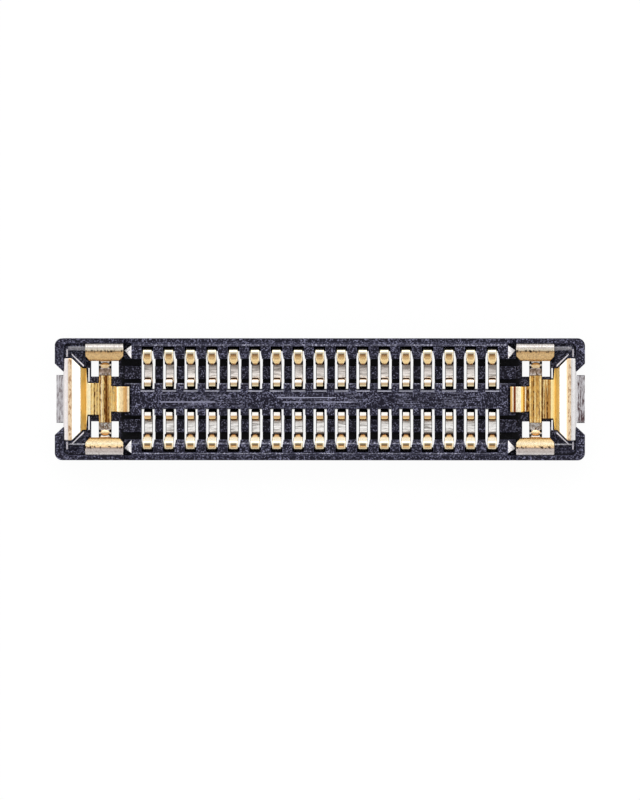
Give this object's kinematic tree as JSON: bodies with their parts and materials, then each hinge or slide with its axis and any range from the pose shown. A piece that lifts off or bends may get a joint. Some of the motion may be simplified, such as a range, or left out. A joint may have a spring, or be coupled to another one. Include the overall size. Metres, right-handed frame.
{
  "type": "fpc connector",
  "caption": "Low receptacle for joining a flexible circuit to a board: black moulded housing with rows of formed gold contacts and a formed power fitting at each end.",
  "frame": {"origin": "middle of the board plane that the solder feet stand on, under the centre of the connector", "axes": "+X along the contact rows, +Y across them, +Z out of the mating side"},
  "size_m": [0.0086, 0.002, 0.0006],
  "materials": {
    "housing_plastic": "fine-grained black moulded plastic",
    "contact_metal": "gold plating over nickel on copper alloy",
    "fitting_metal": "gold plating over nickel on copper alloy, brushed by rolling"
  },
  "bodies": {
    "root": {"housing": "housing_plastic", "power_fitting_left": "fitting_metal", "power_fitting_right": "fitting_metal", "contact_a_01": "contact_metal", "contact_a_02": "contact_metal", "contact_a_03": "contact_metal", "contact_a_04": "contact_metal", "contact_a_05": "contact_metal", "contact_a_06": "contact_metal", "contact_a_07": "contact_metal", "contact_a_08": "contact_metal", "contact_a_09": "contact_metal", "contact_a_10": "contact_metal", "contact_a_11": "contact_metal", "contact_a_12": "contact_metal", "contact_a_13": "contact_metal", "contact_a_14": "contact_metal", "contact_a_15": "contact_metal", "contact_a_16": "contact_metal", "contact_a_17": "contact_metal", "contact_b_01": "contact_metal", "contact_b_02": "contact_metal", "contact_b_03": "contact_metal", "contact_b_04": "contact_metal", "contact_b_05": "contact_metal", "contact_b_06": "contact_metal", "contact_b_07": "contact_metal", "contact_b_08": "contact_metal", "contact_b_09": "contact_metal", "contact_b_10": "contact_metal", "contact_b_11": "contact_metal", "contact_b_12": "contact_metal", "contact_b_13": "contact_metal", "contact_b_14": "contact_metal", "contact_b_15": "contact_metal", "contact_b_16": "contact_metal", "contact_b_17": "contact_metal"}
  },
  "joints": []
}
